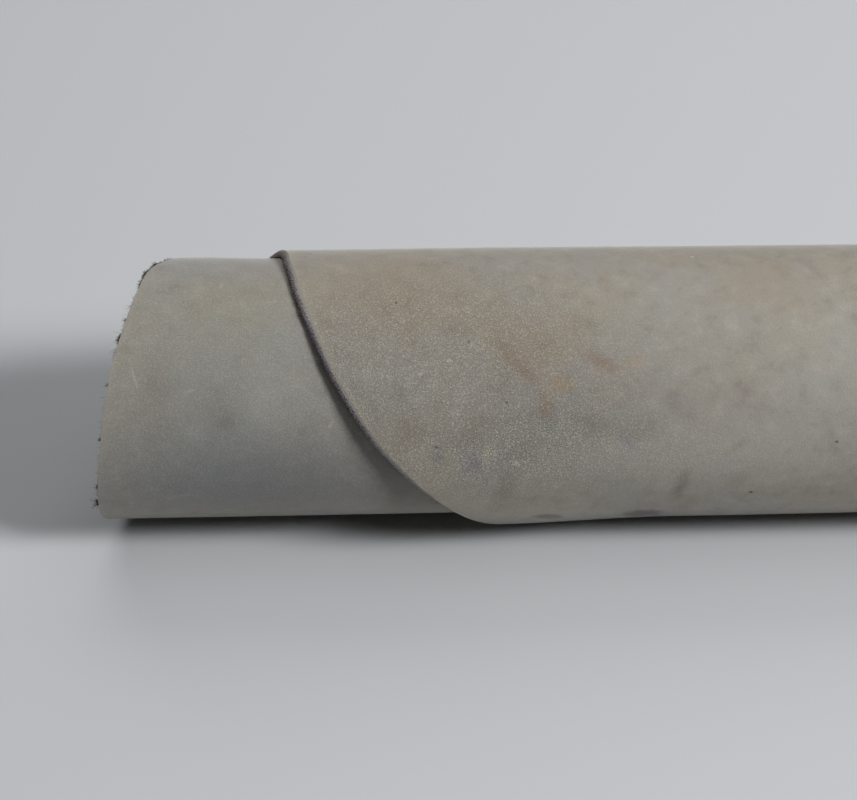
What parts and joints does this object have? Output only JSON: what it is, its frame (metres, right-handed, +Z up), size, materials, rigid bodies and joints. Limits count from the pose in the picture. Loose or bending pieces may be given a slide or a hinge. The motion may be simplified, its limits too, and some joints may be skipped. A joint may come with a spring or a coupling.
{
  "type": "nubuck leather roll",
  "caption": "Cut sheet of taupe nubuck leather, wound loosely into a hollow roll that lies on its side, with a slanting cut flap and raw fibrous edges.",
  "frame": {"origin": "centre of the roll's bounding box, at the surface that it lies on", "axes": "+X along the roll's axis towards its plain cut end, -Y towards the side where the flap's slanting edge shows, +Z up"},
  "size_m": [0.3, 0.0732, 0.0733],
  "materials": {
    "nubuck_leather": "matte buffed grain, taupe, faintly mottled"
  },
  "bodies": {
    "root": {"nubuck_leather_roll": "nubuck_leather"}
  },
  "joints": []
}
